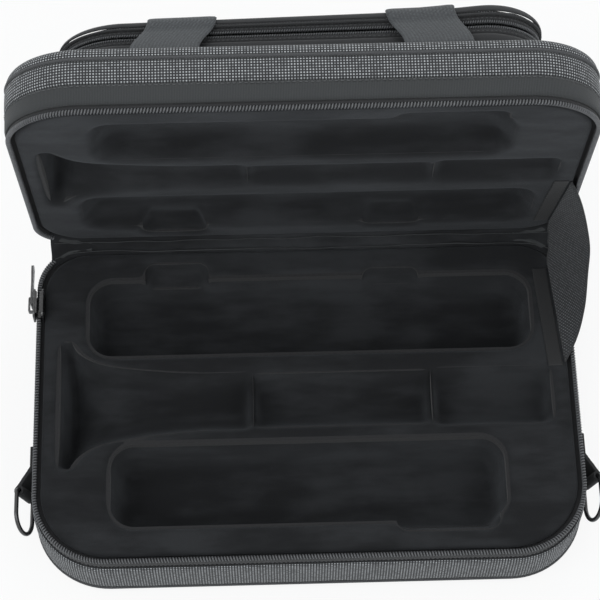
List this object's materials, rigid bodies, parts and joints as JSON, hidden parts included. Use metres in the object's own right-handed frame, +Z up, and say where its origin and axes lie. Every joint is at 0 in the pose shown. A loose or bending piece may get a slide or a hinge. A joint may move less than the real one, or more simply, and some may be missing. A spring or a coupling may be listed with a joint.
{
  "type": "clarinet case",
  "caption": "Open zipped clarinet case: plush-lined tray and lid with moulded wells, outside pocket, webbing handle, strap rings and a fabric stay.",
  "frame": {"origin": "middle of the flat underside of the tray", "axes": "+X to the case's right seen from the front, +Y to its back where the hinge is, +Z up"},
  "size_m": [0.3524, 0.2785, 0.2626],
  "materials": {
    "patterned_nylon": "matte",
    "plain_nylon": "matte",
    "ribbed_band": "matte",
    "piping": "satin",
    "plush": "matte",
    "foam": "matte",
    "zip_tape": "matte",
    "zip_coil": "satin",
    "seam_tape": "matte",
    "webbing": "matte",
    "grip_cover": "matte",
    "black_metal": "gloss",
    "ring_metal": "gloss"
  },
  "bodies": {
    "tray": {"tray_bottom_panel": "plain_nylon", "tray_piping": "piping", "tray_side_panel": "patterned_nylon", "tray_zip_tape": "zip_tape", "tray_zip_coil": "zip_coil", "tray_zip_end_tabs": "ribbed_band", "tray_foam_core": "foam", "tray_plush_liner": "plush", "tray_hinge_strip": "ribbed_band", "hinge_fold": "ribbed_band", "stay_gusset": "patterned_nylon", "tray_gusset_tape": "seam_tape", "strap_ring_tab_left": "seam_tape", "strap_ring_tab_right": "seam_tape"},
    "lid": {"lid_top_panel": "patterned_nylon", "lid_piping": "piping", "lid_side_panel": "patterned_nylon", "lid_band": "ribbed_band", "lid_zip_tape": "zip_tape", "lid_zip_coil": "zip_coil", "lid_zip_end_tabs": "ribbed_band", "lid_foam_core": "foam", "lid_plush_liner": "plush", "lid_hinge_strip": "ribbed_band", "lid_gusset_tape": "seam_tape", "handle_anchors": "seam_tape", "pocket_gusset": "plain_nylon", "pocket_lower_zip_tape": "zip_tape", "pocket_lower_zip_coil": "zip_coil", "pocket_upper_zip_coil": "zip_coil", "pocket_upper_zip_tape": "zip_tape", "pocket_back_panel": "plain_nylon", "pocket_piping": "piping", "pocket_face_band": "patterned_nylon", "pocket_face_panel": "patterned_nylon"},
    "handle": {"handle_strap": "webbing", "handle_grip": "grip_cover"},
    "zip_slider_left": {"zip_slider_left": "black_metal", "zip_slider_bridge_left": "black_metal"},
    "zip_slider_right": {"zip_slider_right": "black_metal", "zip_slider_bridge_right": "black_metal"},
    "zip_pull_left": {"zip_pull_left": "black_metal"},
    "zip_pull_right": {"zip_pull_right": "black_metal"},
    "pocket_slider": {"pocket_slider": "black_metal", "pocket_slider_bridge": "black_metal"},
    "pocket_pull": {"pocket_pull": "black_metal"},
    "strap_ring_left": {"strap_ring_left": "ring_metal"},
    "strap_ring_right": {"strap_ring_right": "ring_metal"}
  },
  "joints": [
    {"name": "lid_hinge", "type": "hinge", "parent": "tray", "child": "lid", "pos_m": [0, 0.1034, 0.052], "axis": [1, 0, 0], "range_deg": [0, 82], "deforming": ["stay_gusset"]},
    {"name": "zip_left", "type": "slide", "parent": "tray", "child": "zip_slider_left", "axis": [0, -1, 0], "range_m": [0, 0.111]},
    {"name": "zip_pull_swing_left", "type": "hinge", "parent": "zip_slider_left", "child": "zip_pull_left", "pos_m": [-0.1663, 0.063, 0.052], "axis": [0, 0, 1], "range_deg": [0, 170]},
    {"name": "strap_ring_swing_left", "type": "hinge", "parent": "tray", "child": "strap_ring_left", "pos_m": [-0.1704, -0.05, 0.025], "axis": [0.342, 0, -0.9397], "range_deg": [0, 110]},
    {"name": "zip_right", "type": "slide", "parent": "tray", "child": "zip_slider_right", "axis": [0, -1, 0], "range_m": [0, 0.111]},
    {"name": "zip_pull_swing_right", "type": "hinge", "parent": "zip_slider_right", "child": "zip_pull_right", "pos_m": [0.1663, 0.063, 0.052], "axis": [0, 0, -1], "range_deg": [0, 170]},
    {"name": "strap_ring_swing_right", "type": "hinge", "parent": "tray", "child": "strap_ring_right", "pos_m": [0.1704, -0.05, 0.025], "axis": [0.342, 0, 0.9397], "range_deg": [0, 110]},
    {"name": "pocket_zip", "type": "slide", "parent": "lid", "child": "pocket_slider", "axis": [0, -0.1392, 0.9903], "range_m": [0, 0.064]},
    {"name": "pocket_pull_swing", "type": "hinge", "parent": "pocket_slider", "child": "pocket_pull", "pos_m": [0.1383, 0.15352, 0.13115], "axis": [0, -0.9903, -0.1392], "range_deg": [0, 170]},
    {"name": "handle_swing", "type": "hinge", "parent": "lid", "child": "handle", "pos_m": [0, 0.11934, 0.24752], "axis": [1, 0, 0], "range_deg": [0, 105]}
  ]
}
